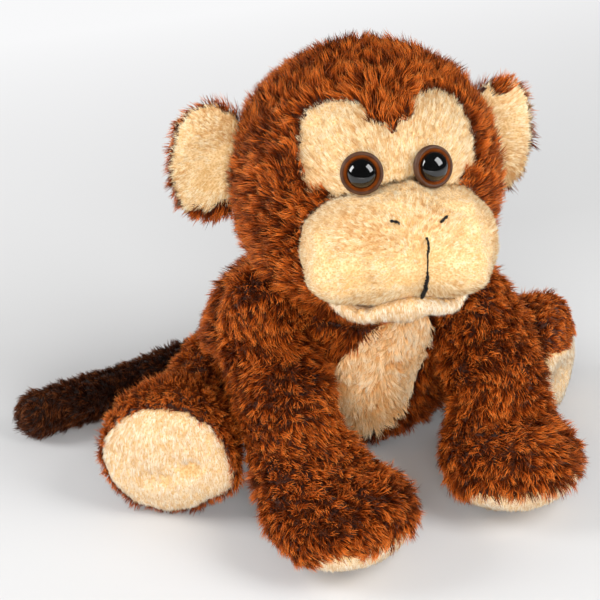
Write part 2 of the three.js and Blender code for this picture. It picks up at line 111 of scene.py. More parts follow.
# Polyester pile: drawn fibre, painted darker towards the root as shade deep in the pile and lighter at its cut
# ends as painted light, with a silky glint along it.
# Each strand's map runs from root to tip upwards, and its place across is the strand's own tone.
def pileFibre(name, along, tones, rough, glint):
    made, tree = newMaterial(name)
    place = addNode(tree, "ShaderNodeUVMap", {}, uv_map="OFBake")
    split = addNode(tree, "ShaderNodeSeparateXYZ", {0: place.outputs[0]})
    # painted shade at the root and painted light at the tip of each strand
    paintedRootShadeTipLight = setRamp(addNode(tree, "ShaderNodeValToRGB", {0: split.outputs["Y"]}), along)
    tone = setRamp(addNode(tree, "ShaderNodeValToRGB", {0: split.outputs["X"]}), tones)
    colour = addNode(tree, "ShaderNodeMix", {0: 1.0, 6: paintedRootShadeTipLight, 7: tone},
                     data_type="RGBA", blend_type="MULTIPLY")
    shader = addNode(tree, "ShaderNodeBsdfPrincipled", {
        "Base Color": colour.outputs[2], "Roughness": rough, "IOR": 1.54,
        "Specular IOR Level": 0.4, "Specular Tint": linear(glint)})
    closeMaterial(tree, shader)
    return made


# Knitted backing: the ground cloth that holds the pile, seen only between strands. Loops about 0.9 mm apart,
# painted darker in the pits between them as shade, and in random blotches.
def knitBacking(name, deep, pale):
    made, tree = newMaterial(name)
    where = addNode(tree, "ShaderNodeTexCoord", {}).outputs["Object"]
    loops = addNode(tree, "ShaderNodeTexVoronoi", {"Vector": where, "Scale": 1 / (0.9 * mm)})
    blotch = addNode(tree, "ShaderNodeTexNoise", {"Vector": where, "Scale": 1 / (6 * mm), "Detail": 4.0})
    depth = loops.outputs["Distance"]
    # painted shade: darker where the knit sinks, times random blotches
    paintedPitShadeAndBlotch = addNode(tree, "ShaderNodeMath", {0: depth, 1: blotch.outputs["Fac"]}, operation="MULTIPLY")
    colour = setRamp(addNode(tree, "ShaderNodeValToRGB", {0: paintedPitShadeAndBlotch.outputs[0]}), [(0.1, deep), (0.5, pale)])
    bump = addNode(tree, "ShaderNodeBump", {"Height": depth, "Strength": 0.6, "Distance": 0.4 * mm})
    shader = addNode(tree, "ShaderNodeBsdfPrincipled", {
        "Base Color": colour, "Roughness": 0.9, "Normal": bump.outputs[0], "Sheen Weight": 0.2})
    closeMaterial(tree, shader)
    return made


# Moulded ABS: even colour with faint flow marks, and a satin or polished skin from the tool.
def mouldedPlastic(name, deep, pale, rough, coat):
    made, tree = newMaterial(name)
    where = addNode(tree, "ShaderNodeTexCoord", {}).outputs["Object"]
    flow = addNode(tree, "ShaderNodeTexNoise", {"Vector": where, "Scale": 1 / (3 * mm), "Detail": 5.0})
    colour = setRamp(addNode(tree, "ShaderNodeValToRGB", {0: flow.outputs["Fac"]}), [(0.3, deep), (0.7, pale)])
    grit = addNode(tree, "ShaderNodeTexNoise", {"Vector": where, "Scale": 1 / (0.25 * mm)})
    bump = addNode(tree, "ShaderNodeBump", {
        "Height": grit.outputs["Fac"], "Strength": 0.25 * rough, "Distance": 0.05 * mm})
    shader = addNode(tree, "ShaderNodeBsdfPrincipled", {
        "Base Color": colour, "Roughness": rough, "IOR": 1.53, "Normal": bump.outputs[0],
        "Coat Weight": coat, "Coat Roughness": 0.03})
    closeMaterial(tree, shader)
    return made


# Spun cotton thread or loose fibre: soft, without gloss, with a twist or fuzz of the given size in mm.
def spunFibre(name, deep, pale, size):
    made, tree = newMaterial(name)
    where = addNode(tree, "ShaderNodeTexCoord", {}).outputs["Object"]
    fuzz = addNode(tree, "ShaderNodeTexNoise", {"Vector": where, "Scale": 1 / (size * mm), "Detail": 6.0})
    colour = setRamp(addNode(tree, "ShaderNodeValToRGB", {0: fuzz.outputs["Fac"]}), [(0.3, deep), (0.7, pale)])
    bump = addNode(tree, "ShaderNodeBump", {
        "Height": fuzz.outputs["Fac"], "Strength": 0.7, "Distance": 0.3 * mm})
    shader = addNode(tree, "ShaderNodeBsdfPrincipled", {
        "Base Color": colour, "Roughness": 0.85, "Normal": bump.outputs[0], "Sheen Weight": 0.06})
    closeMaterial(tree, shader)
    return made


brownTones = [(0.0, "#4e3020"), (0.5, "#c8b2a2"), (1.0, "#ffffff")]
creamTones = [(0.0, "#d0a274"), (0.45, "#f2dfc6"), (1.0, "#ffffff")]
paleTones = [(0.0, "#e0bc92"), (0.45, "#f8ead6"), (1.0, "#ffffff")]
# Each pile's first ramp runs from root to tip: darker at the root as painted shade, lighter at the tip as painted
# light.
finishes = {
    "brownPile": pileFibre(
        "polyesterPileBrown", [(0.0, "#220a02"), (0.35, "#80320a"), (0.75, "#e77628"), (1.0, "#ffb468")],
        brownTones, 0.34, "#ffb878"),
    # darker copy of the brown fibre for the under coat: painted shade between the tufts
    "brownPilePaintedShade": pileFibre(
        "polyesterPileBrownPaintedShade", [(0.0, "#1c0802"), (0.5, "#5c260b"), (1.0, "#a85420")],
        brownTones, 0.4, "#e09050"),
    "darkPile": pileFibre(
        "polyesterPileDark", [(0.0, "#170803"), (0.5, "#4a2310"), (1.0, "#86502a")],
        brownTones, 0.4, "#c09070"),
    # darker copy of the dark fibre for the tail's under coat: painted shade between the tufts
    "darkPilePaintedShade": pileFibre(
        "polyesterPileDarkPaintedShade", [(0.0, "#0c0401"), (0.5, "#2a1207"), (1.0, "#54290f")],
        brownTones, 0.45, "#a07050"),
    "creamPile": pileFibre(
        "polyesterPileCream", [(0.0, "#e2b47a"), (0.4, "#f4dcb0"), (1.0, "#fbf4da")],
        creamTones, 0.6, "#fff0d8"),
    # cream fibre for the belly with a brighter middle and tip than the cream pile: painted light against the shade
    # under the head
    "bellyPilePaintedLight": pileFibre(
        "polyesterPileBellyPaintedLight", [(0.0, "#bc7c42"), (0.4, "#ffd29c"), (1.0, "#fff6dc")],
        paleTones, 0.5, "#fff0d8"),
    "palePile": pileFibre(
        "polyesterPilePale", [(0.0, "#f2d0a2"), (0.4, "#fdecd0"), (1.0, "#fffaee")],
        paleTones, 0.6, "#fff4e4"),
    "brownBacking": knitBacking("knitBackingBrown", "#220d05", "#5a2a10"),
    "darkBacking": knitBacking("knitBackingDark", "#120703", "#2c1409"),
    "creamBacking": knitBacking("knitBackingCream", "#c99a5c", "#eecb97"),
    "ring": mouldedPlastic("mouldedBrownRim", "#3c2010", "#50301a", 0.6, 0.0),
    "iris": mouldedPlastic("mouldedAmberBrown", "#6a2f0a", "#8a4314", 0.3, 0.3),
    "pupil": mouldedPlastic("polishedBlack", "#040404", "#080808", 0.04, 0.6),
    "washer": mouldedPlastic("mouldedWhite", "#dcdcd8", "#efefec", 0.5, 0.0),
    "thread": spunFibre("embroideryThreadBlack", "#060403", "#120d0a", 0.5),
    "fibre": spunFibre("polyesterFibreWhite", "#dedbd2", "#f7f5f0", 2.0),
    "bag": spunFibre("wovenBagCloth", "#c4beb0", "#e0dbcf", 0.8),
}
print("materials:", len(finishes))


# The photograph's own camera: 600 by 600, seen from the toy's right and a little above; places in mm
view = {"from": (-304.9, -665.2, 435.6), "at": (-17.61, -19.93, 60),
        "lens": 111.84, "sensor": 36, "frame": 600}
aim = Vector(view["at"]) * mm
lens = bpy.data.cameras.new("camera")
lens.lens = view["lens"]
lens.sensor_width = view["sensor"]
camera = bpy.data.objects.new("camera", lens)
bpy.context.scene.collection.objects.link(camera)
camera.location = Vector(view["from"]) * mm
camera.rotation_euler = (aim - camera.location).to_track_quat("-Z", "Y").to_euler()
bpy.context.scene.camera = camera


def sightLine(x, y):
    scale = view["sensor"] / view["lens"] / view["frame"]
    way = Vector(((x - view["frame"] / 2) * scale, (view["frame"] / 2 - y) * scale, -1))
    return camera.location, (camera.rotation_euler.to_matrix() @ way).normalized()


# Cloth skins: each stuffed form is welded over its solids, relaxed and drawn in to leave room for its pile

def unit(v):
    return v / np.maximum(np.linalg.norm(v, axis=-1, keepdims=True), 1e-12)


def addObject(name, mesh):
    made = bpy.data.objects.new(name, mesh)
    bpy.context.scene.collection.objects.link(made)
    return made


def settled(piece):
    graph = bpy.context.evaluated_depsgraph_get()
    mesh = bpy.data.meshes.new_from_object(piece.evaluated_get(graph))
    piece.modifiers.clear()
    old = piece.data
    piece.data = mesh
    bpy.data.meshes.remove(old)
    return piece


skinWork = {"sameSpot": 0.01, "relax": 0.5, "offFloor": 0.5}  # mm, share per round, mm


def joinedSolids(name, names):
    shape = bmesh.new()
    for each in names:
        shape.from_mesh(nodes[each].data)
    bmesh.ops.remove_doubles(shape, verts=shape.verts, dist=skinWork["sameSpot"] * mm)
    mesh = bpy.data.meshes.new(name)
    shape.to_mesh(mesh)
    shape.free()
    return addObject(name, mesh)


def softSkin(name, body, names, voxel, rounds, inset):
    piece = joinedSolids(name, names)
    remesh = piece.modifiers.new("weld", "REMESH")
    remesh.mode = "VOXEL"
    remesh.voxel_size = voxel * mm
    relax = piece.modifiers.new("relax", "SMOOTH")
    relax.factor = skinWork["relax"]
    relax.iterations = rounds
    settled(piece)
    shape = bmesh.new()
    shape.from_mesh(piece.data)
    shape.verts.ensure_lookup_table()
    seen, islands = set(), []
    for start in shape.verts:
        if start in seen:
            continue
        seen.add(start)
        island, queue = [start], [start]
        while queue:
            for edge in queue.pop().link_edges:
                for vert in edge.verts:
                    if vert not in seen:
                        seen.add(vert)
                        island.append(vert)
                        queue.append(vert)
        islands.append(island)
    islands.sort(key=len)  # only the outer skin, the largest, is kept
    bmesh.ops.delete(shape, geom=[v for island in islands[:-1] for v in island], context="VERTS")
    shape.normal_update()
    for vert in shape.verts:
        vert.co -= vert.normal * inset * mm
        vert.co.z = max(vert.co.z, skinWork["offFloor"] * mm)
    shape.to_mesh(piece.data)
    shape.free()
    return {"name": name, "body": body, "inset": inset, "piece": piece}


def readSkin(skin):
    mesh = skin["piece"].data
    mesh.calc_loop_triangles()
    count = len(mesh.vertices)
    points = np.empty(count * 3)
    normals = np.empty(count * 3)
    mesh.vertices.foreach_get("co", points)
    mesh.vertices.foreach_get("normal", normals)
    corners = np.empty(len(mesh.loop_triangles) * 3, dtype=np.int32)
    mesh.loop_triangles.foreach_get("vertices", corners)
    skin["points"] = points.reshape(-1, 3)
    skin["normals"] = normals.reshape(-1, 3)
    skin["corners"] = corners.reshape(-1, 3)
    skin["tree"] = BVHTree.FromPolygons(skin["points"].tolist(), skin["corners"].tolist())
    skin["low"] = skin["points"].min(0)
    skin["high"] = skin["points"].max(0)
    return skin


def reshape(skin, points):
    skin["piece"].data.vertices.foreach_set("co", points.ravel())
    skin["piece"].data.update()
    readSkin(skin)


def solidTree(name):
    mesh = nodes[name].data
    return BVHTree.FromPolygons([v.co for v in mesh.vertices], [list(p.vertices) for p in mesh.polygons])


def clothReach(points, names):
    trees = [solidTree(each) for each in names]
    return np.array([[tree.find_nearest(Vector(p))[3] for tree in trees] for p in points])


# a cream panel's cut edge reaches this far past its solid, in mm
creamLead = {"headSkin": 0.8, "leftEarSkin": 0.3, "rightEarSkin": 0.3, "leftLegSkin": 1.4, "rightLegSkin": 1.4}
# brown pile closes over the panel's edge at these places in the photograph: x, y, radius mm, and the mm
# that the middle of the round is above the place
brownOver = {
    "headSkin": [(378, 117, 4.0, 0), (404, 113, 4.0, 0), (468, 182, 5.0, 0), (322, 203, 5.0, 0)],
    "rightEarSkin": [(212, 215, 4.0, 0), (224, 208, 4.5, 0), (199, 211, 3.0, 0), (226, 109, 2.4, 0)],
    "leftEarSkin": [(499, 88, 4.0, 0)],
    "leftLegSkin": [(557, 314, 45.0, 32)],
}
# a palm turns up only at the front of its paw: the way that faces, how far in mm, and how soon
palmTurn = {"leftArmSkin": (-7, -70), "rightArmSkin": (-1, -84), "lead": 7.0, "sooner": 0.1}


# 0 for brown cloth and 1 for cream, and how far each point is from the cream solid
def clothLabel(skin, points, normals, cloths):
    points = points + normals * skin["inset"] * mm
    reach = clothReach(points, cloths)
    lead = np.full(len(points), creamLead.get(skin["name"], 0.0))
    if skin["name"] in palmTurn:
        front = unit(np.array([*palmTurn[skin["name"]], 0.0]))
        lead = palmTurn["lead"] * np.clip(normals @ front + palmTurn["sooner"], 0, 1)
    cream = reach[:, 1] - lead * mm < reach[:, 0]
    for x, y, radius, above in brownOver.get(skin["name"], []):
        place = skin["tree"].ray_cast(*sightLine(x, y))[0]
        cream &= np.linalg.norm(points - np.array(place) - [0, 0, above * mm], axis=1) > radius * mm
    return cream.astype(int), reach[:, 1]


skinPlan = {  # body, solids under the cloth, voxel mm, rounds of relaxing, inset mm
    "torsoSkin": ("torso", ["torso_cover", "belly_patch", "torso_stuffing", "seat_pellet_bag"], 1.7, 14, 0.6),
    "neckSkin": ("neck", ["neck"], 1.7, 4, 0.6),
    "headSkin": ("head", ["head_cover", "eye_patch", "head_stuffing"], 1.7, 14, 0.7),
    "muzzleSkin": ("head", ["muzzle_cover", "muzzle_stuffing"], 1.2, 12, 0.8),
    "lipSkin": ("head", ["lower_lip"], 0.8, 6, -1.4),
    "leftEarSkin": ("ear_left", ["ear_back_left", "ear_front_left"], 1.0, 5, 0.9),
    "rightEarSkin": ("ear_right", ["ear_back_right", "ear_front_right"], 1.0, 5, 0.9),
    "leftArmSkin": ("arm_left", ["arm_left", "palm_left"], 1.5, 12, 0.7),
    "rightArmSkin": ("arm_right", ["arm_right", "palm_right"], 1.5, 12, 0.5),
    "leftLegSkin": ("leg_left", ["leg_left", "sole_left"], 1.5, 12, 1.2),
    "rightLegSkin": ("leg_right", ["leg_right", "sole_right"], 1.5, 12, 1.0),
    "tailSkin": ("tail", ["tail"], 1.2, 8, 1.2),
}
skins = {name: readSkin(softSkin(name, *plan)) for name, plan in skinPlan.items()}

# The right ear lies a little wider than its solid and the left one a little narrower
earRoots = {"left": (48, -45, 132), "right": (-43, -25, 132)}  # the seam, mm
earSpread = {"left": (0.94, 1.02), "right": (1.06, 1.02)}  # shares out from the seam, and up and down
for side, (outwards, upright) in earSpread.items():
    skin = skins[side + "EarSkin"]
    root = np.array(earRoots[side]) * mm
    place = skin["points"] - root
    out = unit(place.mean(0) * [1, 1, 0])
    place += np.outer(place @ out, out) * (outwards - 1)
    place[:, 2] *= upright
    reshape(skin, place + root)

# Dents and creases in the stuffed forms: places in the photograph, radius mm, depth mm; a depth below 0 swells
dents = {
    "torsoSkin": [(256, 286, 26, -10.0), (222, 318, 24, -3.0)],
    "muzzleSkin": [(327, 283, 17, -5.0), (473, 276, 17, -5.0)],
    "lipSkin": [(362, 313, 11, -2.2), (450, 306, 11, -2.2)],
    "leftLegSkin": [(562, 380, 14, 4.0), (545, 305, 14, 2.0)],
    "rightLegSkin": [(226, 476, 14, -4.0), (192, 469, 5.0, 3.2), (186, 470, 8.0, 1.6),
                     (142, 475, 6.0, 1.0), (154, 479, 6.5, 1.5), (166, 479, 6.0, 1.0)],
    "rightArmSkin": [(264, 300, 32, -13.0), (280, 516, 16, -2.5), (343, 488, 10, 2.6),
                     (362, 505, 7, 2.0), (372, 524, 7, 2.0), (318, 505, 9, 1.6)],
    "leftArmSkin": [(574, 455, 14, 3.0), (480, 470, 9, 2.0), (546, 455, 10, 2.0),
                    (507, 462, 6, 1.6), (455, 470, 7, 1.8)],
}
for name, marks in dents.items():
    skin = skins[name]
    for x, y, radius, depth in marks:
        place, facing = skin["tree"].ray_cast(*sightLine(x, y))[:2]
        reach = np.linalg.norm(skin["points"] - np.array(place), axis=1) / (radius * mm)
        fall = np.clip(1 - reach ** 2, 0, 1) ** 2
        skin["points"] -= np.array(facing) * (fall * depth * mm)[:, None]
    reshape(skin, skin["points"])
print("skins:", {name: len(skin["points"]) for name, skin in skins.items()})


# Backing cloth: one piece for each cloth of a skin, cut where the cloths meet. Thickness in mm

brownCloth, creamCloth, onlyCloth = 0, 1, 0  # places in a list of cloths
backings = {
    "brown": {"thick": 1.2, "finish": "brownBacking", "slot": "brown_pile"},
    "cream": {"thick": 1.0, "finish": "creamBacking", "slot": "cream_pile"},
    "belly": {"thick": 1.0, "finish": "creamBacking", "slot": "belly_pile"},
    "lip": {"finish": "creamBacking", "slot": "pale_pile"},
    "tail": {"finish": "darkBacking", "slot": "tail_pile"},
    "earBack": {"thick": 0.8, "finish": "brownBacking", "slot": "brown_pile"},
    "earFront": {"thick": 0.8, "finish": "creamBacking", "slot": "cream_pile"},
}


def dress(piece, finish):
    piece.data.materials.clear()
    piece.data.materials.append(finishes[finish])
    piece.data.polygons.foreach_set("use_smooth", [True] * len(piece.data.polygons))


def clothPiece(name, skinName, region, cloths, backing):
    skin = skins[skinName]
    shape = bmesh.new()
    shape.from_mesh(skin["piece"].data)
    if len(cloths) > 1:
        faces = list(shape.faces)
        middles = np.array([f.calc_center_median() for f in faces])
        label = clothLabel(skin, middles, np.array([f.normal for f in faces]), cloths)[0]
        bmesh.ops.delete(shape, geom=[f for f, k in zip(faces, label) if k != region], context="FACES")
    made = bpy.data.meshes.new(name)
    shape.to_mesh(made)
    shape.free()
    piece = addObject(name, made)
    if len(cloths) > 1:  # a cut cloth gets a wall, a whole skin is closed already
        wall = piece.modifiers.new("wall", "SOLIDIFY")
        wall.thickness = backing["thick"] * mm
        wall.offset = -1
        settled(piece)
    dress(piece, backing["finish"])
    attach(piece, skin["body"])
    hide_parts(cloths[region])


# Combed pile: closed three-sided strands that rise from the skin, bend along the nap and gather into tufts

swirlWork = {"waves": 7, "spread": (0.6, 1.6), "turn": 6.28, "level": 2.6}


def swirl(points, seed, wave):
    rng = np.random.default_rng(seed)
    waves = swirlWork["waves"]
    turns = unit(rng.normal(size=(waves, 3))) * (2 * math.pi / (wave * mm))
    turns = turns * rng.uniform(*swirlWork["spread"], (waves, 1))
    phase = rng.uniform(0, swirlWork["turn"], waves)
    return np.sin(points @ turns.T + phase) @ rng.normal(size=(waves, 3)) / swirlWork["level"]


strandWork = {
    "thirdTurn": 2.0944, "waist": 0.85, "offFloor": 0.15,  # radians, share of the girth, mm
    "mapFoot": 0.03, "mapMiddle": 0.5, "mapTip": 0.97, "mapWide": 0.012, "mapSides": (0.02, 0.98)}  # in the map


def strandMesh(name, pile, roots, normals, aims, girths, tones, sides):
    count = len(roots)
    bent = pile["arch"] > 0
    reach = np.linalg.norm(aims, axis=1, keepdims=True)
    middles = roots + aims * 0.5 + normals * reach * pile["arch"]
    tips = roots + aims
    axis = unit(middles - roots)
    across = unit(np.cross(axis, sides))
    other = np.cross(axis, across)
    third = strandWork["thirdTurn"]
    spokes = [math.cos(third * k) * across + math.sin(third * k) * other for k in range(3)]
    columns = [roots + spoke * girths[:, None] for spoke in spokes]
    facing = list(spokes)
    height = [strandWork["mapFoot"]] * 3
    if bent:  # a ring half way up, where the strand turns over
        columns += [middles + spoke * girths[:, None] * strandWork["waist"] for spoke in spokes]
        facing += spokes
        height += [strandWork["mapMiddle"]] * 3
        corners = np.array([0, 1, 4, 3, 1, 2, 5, 4, 2, 0, 3, 5, 3, 4, 6, 4, 5, 6, 5, 3, 6, 2, 1, 0])
        starts = np.array([0, 4, 8, 12, 15, 18, 21])
    else:
        corners = np.array([0, 1, 3, 1, 2, 3, 2, 0, 3, 2, 1, 0])
        starts = np.array([0, 3, 6, 9])
    height = np.array(height + [strandWork["mapTip"]])
    offset = np.array([-1, 0, 1] * (2 if bent else 1) + [0]) * strandWork["mapWide"]
    columns.append(tips)
    facing.append(unit(aims))
    points = np.stack(columns, 1)
    points[:, :, 2] = np.maximum(points[:, :, 2], strandWork["offFloor"] * mm)
    facing = unit(np.stack(facing, 1) * (1 - pile["soft"]) + normals[:, None] * pile["soft"])
    step = np.arange(count)[:, None]
    mesh = bpy.data.meshes.new(name)
    mesh.vertices.add(points.shape[0] * points.shape[1])
    mesh.vertices.foreach_set("co", points.ravel())
    mesh.loops.add(count * len(corners))
    mesh.loops.foreach_set("vertex_index", (corners + step * points.shape[1]).ravel().astype(np.int32))
    mesh.polygons.add(count * len(starts))
    mesh.polygons.foreach_set("loop_start", (starts + step * len(corners)).ravel().astype(np.int32))
    mesh.polygons.foreach_set("use_smooth", np.ones(count * len(starts), dtype=bool))
    place = np.empty((count, len(corners), 2))
    place[:, :, 0] = np.clip(tones, *strandWork["mapSides"])[:, None] + offset[corners]
    place[:, :, 1] = height[corners]
    mesh.uv_layers.new(name="OFBake").data.foreach_set("uv", place.ravel())
    mesh.update(calc_edges=True)
    # thin fibre passes light on, so it shades as the coat does
    mesh.normals_split_custom_set_from_vertices(facing.reshape(-1, 3))
    return mesh


def roomAhead(roots, aims, own, extra):
    room = np.linalg.norm(aims, axis=1)
    ways = unit(aims)
    reach = room.max()
    low = np.minimum(roots, roots + aims)
    high = np.maximum(roots, roots + aims)
    near = [(s["tree"], s["low"], s["high"]) for s in skins.values() if s is not own] + extra
    for tree, boxLow, boxHigh in near:
        inside = np.all((low < boxHigh) & (high > boxLow), axis=1)
        for k in np.nonzero(inside)[0]:
            hit = tree.ray_cast(Vector(roots[k]), Vector(ways[k]), reach)[3]
            if hit is not None and hit < room[k]:
                room[k] = hit
    return room


combing = {  # what all coats share; lengths in mm, ranges as shares
    "patch": 30, "patchLift": 0.12, "patchSheen": 0.16,  # broad patches that lie flatter and are painted lighter there, a painted sheen
    "lift": (0.15, 0.9), "leastRise": 0.15, "tuftLean": 0.6,
    "tuftLong": (0.75, 1.2), "strandLong": (0.8, 1.1), "girth": (0.75, 1.2), "gather": (0.6, 1.1),
    "tuftTone": (0.5, 0.38), "strandTone": 0.15,  # middle and spread from tuft to tuft, and within a tuft
    "trimReach": 7, "seamSheenReach": 6, "shorter": (1.4, 0.45),
    "rootPaintedShade": 0.5, "rootClear": 0.4, "roomShare": 0.9,
    "mostBent": 19000, "mostStraight": 48000,  # strands in one piece, to keep it under 200,000 triangles
}
tally = []


def growPile(name, skinName, region, cloths, pile, nap):
    skin = skins[skinName]
    rng = np.random.default_rng(pile["seed"])
    a, b, c = (skin["points"][skin["corners"][:, k]] for k in range(3))
    area = np.linalg.norm(np.cross(b - a, c - a), axis=1) / 2
    count = int(area.sum() / mm ** 2 * pile["perSquareMm"] * pileShare)
    pick = rng.choice(len(area), count, p=area / area.sum())
    u, v = rng.random((2, count, 1))
    u, v = np.where(u + v > 1, 1 - u, u), np.where(u + v > 1, 1 - v, v)
    corner = skin["corners"][pick]
    roots = a[pick] * (1 - u - v) + b[pick] * u + c[pick] * v
    normals = unit(skin["normals"][corner[:, 0]] * (1 - u - v) + skin["normals"][corner[:, 1]] * u
                   + skin["normals"][corner[:, 2]] * v)
    fromSeam = np.full(count, 1.0)
    if len(cloths) > 1:
        label, fromSeam = clothLabel(skin, roots, normals, cloths)
        mine = label == region
        roots, normals, fromSeam = roots[mine], normals[mine], fromSeam[mine]
    if skinName == "muzzleSkin":  # combed off the thread where it shows
        clear = np.array([stitchFinder.find(Vector(root))[2] for root in roots]) > stitchWork["clear"] * mm
        roots, normals, fromSeam = roots[clear], normals[clear], fromSeam[clear]
    count = len(roots)
    # the nap lies along the surface, wanders in broad whorls, and each tuft leans its own way
    flow = nap(roots)
    flow = unit(flow - normals * np.sum(flow * normals, axis=1, keepdims=True))
    flow = flow + swirl(roots, pile["seed"] + 1, pile["whorl"]) * pile["wander"]
    flow = unit(flow - normals * np.sum(flow * normals, axis=1, keepdims=True))
    heads = rng.choice(count, max(1, int(count / pile["perTuft"])), replace=False)
    finder = KDTree(len(heads))
    for k, head in enumerate(heads):
        finder.insert(Vector(roots[head]), k)
    finder.balance()
    tuft = np.array([finder.find(Vector(root))[1] for root in roots])
    sway = swirl(roots, pile["seed"] + 2, combing["patch"])[:, 0]
    lift = np.clip(pile["lift"] - sway * combing["patchLift"], *combing["lift"])[:, None]
    lean = rng.normal(size=(len(heads), 3)) * pile["unruly"]
    stretch = rng.uniform(*combing["tuftLong"], len(heads))
    toneMiddle, toneSpread = combing["tuftTone"]
    shade = np.clip(toneMiddle + toneSpread * rng.normal(size=len(heads)), 0, 1)
    way = normals * lift + flow * (1 - lift) + lean[tuft] * combing["tuftLean"]
    way = way + rng.normal(size=(count, 3)) * pile["stray"]
    below = np.sum(way * normals, axis=1, keepdims=True)
    way = unit(way + normals * np.maximum(combing["leastRise"] - below, 0))
    length = pile["long"] * mm * stretch[tuft] * rng.uniform(*combing["strandLong"], count)
    trim = pile["trim"]  # clipped back along a cream panel
    length *= np.clip(trim + (1 - trim) * fromSeam / (combing["trimReach"] * mm), 0, 1)
    if "shorter" in pile:  # away from its seam
        place, reach = pile["shorter"]
        full, least = combing["shorter"]
        length *= np.clip(full - np.linalg.norm(roots - np.array(place) * mm, axis=1) / (reach * mm), least, 1)
    aims = way * length[:, None]
    headTips = roots[heads] + aims[heads]
    gather = pile["gather"] * rng.uniform(*combing["gather"], (count, 1))
    aims = aims + (headTips[tuft] - roots - aims) * gather
    room = roomAhead(roots + normals * combing["rootClear"] * mm, aims, skin, obstacles)
    reach = np.linalg.norm(aims, axis=1)
    share = np.minimum(1, room * combing["roomShare"] / reach)
    keep = share * reach > pile["least"] * mm
    roots, normals, tuft = roots[keep], normals[keep], tuft[keep]
    aims = (aims * share[:, None])[keep]
    # painted sheen: lighter where the broad patches lie flatter
    tones = shade[tuft] + sway[keep] * combing["patchSheen"]
    tones = tones + rng.normal(size=len(roots)) * combing["strandTone"]
    # painted sheen: strands near a cream panel are lighter, as where they lie flat and catch light
    tones += pile["edge"] * np.exp(-fromSeam[keep] / (combing["seamSheenReach"] * mm))
    girths = pile["girth"] * mm * rng.uniform(*combing["girth"], len(roots))
    sides = rng.normal(size=(len(roots), 3))
    feet = roots - normals * combing["rootPaintedShade"] * mm
    most = combing["mostBent"] if pile["arch"] > 0 else combing["mostStraight"]
    for k, start in enumerate(range(0, len(roots), most)):
        part = slice(start, start + most)
        pieceName = name if k == 0 else f"{name}{k + 1}"
        mesh = strandMesh(pieceName, pile, feet[part], normals[part], aims[part],
                          girths[part], tones[part], sides[part])
        mesh.materials.append(finishes[pile["finish"]])
        piece = addObject(pieceName, mesh)
        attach(piece, skin["body"])
    tally.append(len(roots))
    print("pile:", name, len(roots))


# The brown coat is a dense straight under coat with longer bent strands over it, the cream cloth has one short
# pile. Lengths in mm
underCoat = {
    "perSquareMm": 1.6, "girth": 0.2, "lift": 0.55, "whorl": 40, "wander": 0.6, "perTuft": 6, "unruly": 0.34,
    "stray": 0.16, "gather": 0.25, "arch": 0, "least": 1.2, "soft": 0.3, "trim": 1.0, "edge": 0.0,
    "finish": "brownPile", "slot": "brown_pile"}
overCoat = {
    "perSquareMm": 1.6, "girth": 0.17, "lift": 0.45, "whorl": 40, "wander": 0.6, "perTuft": 8, "unruly": 0.3,
    "stray": 0.12, "gather": 0.3, "arch": 0.11, "least": 1.6, "soft": 0.22, "trim": 1.0, "edge": 0.0,
    "finish": "brownPile", "slot": "brown_pile"}
velvet = {
    "perSquareMm": 6.5, "long": 4.0, "girth": 0.15, "lift": 0.26, "whorl": 22, "wander": 0.18, "perTuft": 6,
    "unruly": 0.1, "stray": 0.06, "gather": 0.1, "arch": 0, "least": 0.7, "soft": 0.6, "trim": 1.0, "edge": 0.0,
    "finish": "creamPile", "slot": "cream_pile"}
coatWork = {"underLong": 0.65, "overSeed": 500}  # the under coat's share of the length, and the over coat's seed


def growCoat(name, skinName, region, cloths, coat, nap):
    fibre = coat.get("finish", "brownPile")
    # the under coat takes the darker copy of its fibre, painted shade between the tufts
    under = {**underCoat, **coat, "long": coat["long"] * coatWork["underLong"], "finish": fibre + "PaintedShade"}
    over = {**overCoat, **coat, "seed": coat["seed"] + coatWork["overSeed"], "finish": fibre}
    growPile(name + "Under", skinName, region, cloths, under, nap)
    growPile(name + "Over", skinName, region, cloths, over, nap)


def away(x, y, z):
    return lambda points: points - np.array([x, y, z]) * mm


def along(x, y, z):
    return lambda points: np.tile(np.array([x, y, z], dtype=float), (len(points), 1))


# Stitches: two plies of black thread twisted together, sunk in the pile along parts of their run

stitchWork = {  # mm, apart from the last row
    "twist": 3.2, "apart": 0.34, "ply": 0.5, "clear": 1.3, "step": 0.3, "proud": 0.2, "deep": 3.2, "taper": 0.6,
    "point": 0.05, "shows": 0.3, "sides": 8, "bands": 12, "fewest": 8}
askew = [0.31, 0.2, 0.93]  # a way that no stitch runs in
showing = []


def middleLine(node):
    points = np.array([v.co for v in nodes[node].data.vertices])
    centre = points.mean(0)
    axis = np.linalg.svd(points - centre)[2][0]
    axis = axis if axis[2] < 0 else -axis  # from the top down
    reach = (points - centre) @ axis
    marks = np.linspace(reach.min(), reach.max(), stitchWork["bands"] + 1)
    bands = [(reach >= low - 1e-6) & (reach <= high + 1e-6) for low, high in zip(marks, marks[1:])]
    return np.array([points[band].mean(0) for band in bands if band.any()])


def resampled(line):
    reach = np.r_[0, np.cumsum(np.linalg.norm(np.diff(line, axis=0), axis=1))]
    at = np.linspace(0, reach[-1], max(stitchWork["fewest"], int(reach[-1] / (stitchWork["step"] * mm))))
    return np.stack([np.interp(at, reach, line[:, k]) for k in range(3)], 1), at


